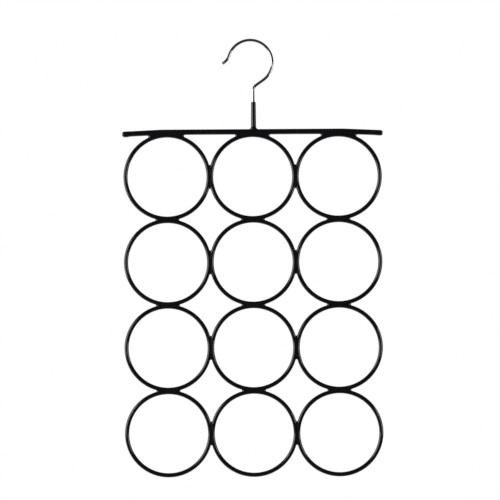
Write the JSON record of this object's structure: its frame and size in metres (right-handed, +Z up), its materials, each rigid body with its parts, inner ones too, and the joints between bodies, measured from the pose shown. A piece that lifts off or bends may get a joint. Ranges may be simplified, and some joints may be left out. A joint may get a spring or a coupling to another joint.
{
  "type": "scarf hanger",
  "caption": "Hanger with a turning chrome wire hook over a bar and a grid of welded wire rings, all under a soft black coat, for scarves, belts and ties.",
  "frame": {"origin": "the point inside the hook's loop that rests on a rail", "axes": "+Z up, +X along the bar with the hook opening towards -X, +Y through the rings towards the back"},
  "size_m": [0.2606, 0.0054, 0.438],
  "materials": {
    "chrome_wire": "bright chrome on drawn wire",
    "plain_steel": "drawn wire, bare under the coat",
    "soft_coat": "dipped soft coat, satin black"
  },
  "bodies": {
    "hook": {"hook": "chrome_wire"},
    "frame": {"neck_sleeve": "plain_steel", "neck_welds": "plain_steel", "cross_bar": "plain_steel", "ring_welds": "plain_steel", "bar_welds": "plain_steel", "ring_row1_left": "plain_steel", "ring_row1_middle": "plain_steel", "ring_row1_right": "plain_steel", "ring_row2_left": "plain_steel", "ring_row2_middle": "plain_steel", "ring_row2_right": "plain_steel", "ring_row3_left": "plain_steel", "ring_row3_middle": "plain_steel", "ring_row3_right": "plain_steel", "ring_row4_left": "plain_steel", "ring_row4_middle": "plain_steel", "ring_row4_right": "plain_steel", "bar_coat": "soft_coat", "neck_coat": "soft_coat", "coat_row1_left": "soft_coat", "coat_row1_middle": "soft_coat", "coat_row1_right": "soft_coat", "coat_row2_left": "soft_coat", "coat_row2_middle": "soft_coat", "coat_row2_right": "soft_coat", "coat_row3_left": "soft_coat", "coat_row3_middle": "soft_coat", "coat_row3_right": "soft_coat", "coat_row4_left": "soft_coat", "coat_row4_middle": "soft_coat", "coat_row4_right": "soft_coat"}
  },
  "joints": [
    {"name": "hook_swivel", "type": "hinge", "parent": "hook", "child": "frame", "pos_m": [0.0031, 0, -0.0604], "axis": [0, 0, 1], "continuous": true}
  ]
}
